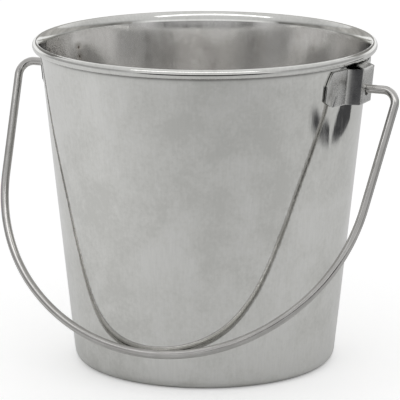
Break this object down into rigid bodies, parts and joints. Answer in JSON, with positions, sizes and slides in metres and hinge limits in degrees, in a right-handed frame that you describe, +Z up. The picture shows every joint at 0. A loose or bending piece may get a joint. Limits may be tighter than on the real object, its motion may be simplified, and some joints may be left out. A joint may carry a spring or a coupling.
{
  "type": "feed bucket",
  "caption": "Open-topped flared sheet-steel pail with a rolled rim, stamped side ears and a swinging wire bail, for carrying feed or water.",
  "frame": {"origin": "centre of the base's underside, on the pail's axis", "axes": "+Z up out of the open top; the bail pivots along X through both ears; at rest the bail lies against the wall on the -Y side"},
  "size_m": [0.247, 0.203, 0.1925],
  "materials": {
    "drawn_sheet": "satin-polished stainless sheet with faint upright grain",
    "stamped_ear": "tumbled stainless stamping with bright sheared edges",
    "bent_wire": "polished stainless wire with lengthwise draw marks"
  },
  "bodies": {
    "pail": {"pail_body": "drawn_sheet", "ear_right": "stamped_ear", "ear_left": "stamped_ear"},
    "bail": {"bail": "bent_wire"}
  },
  "joints": [
    {"name": "bail_swing", "type": "hinge", "parent": "pail", "child": "bail", "pos_m": [0, 0, 0.171], "axis": [-1, 0, 0], "range_deg": [0, 302.3]}
  ]
}
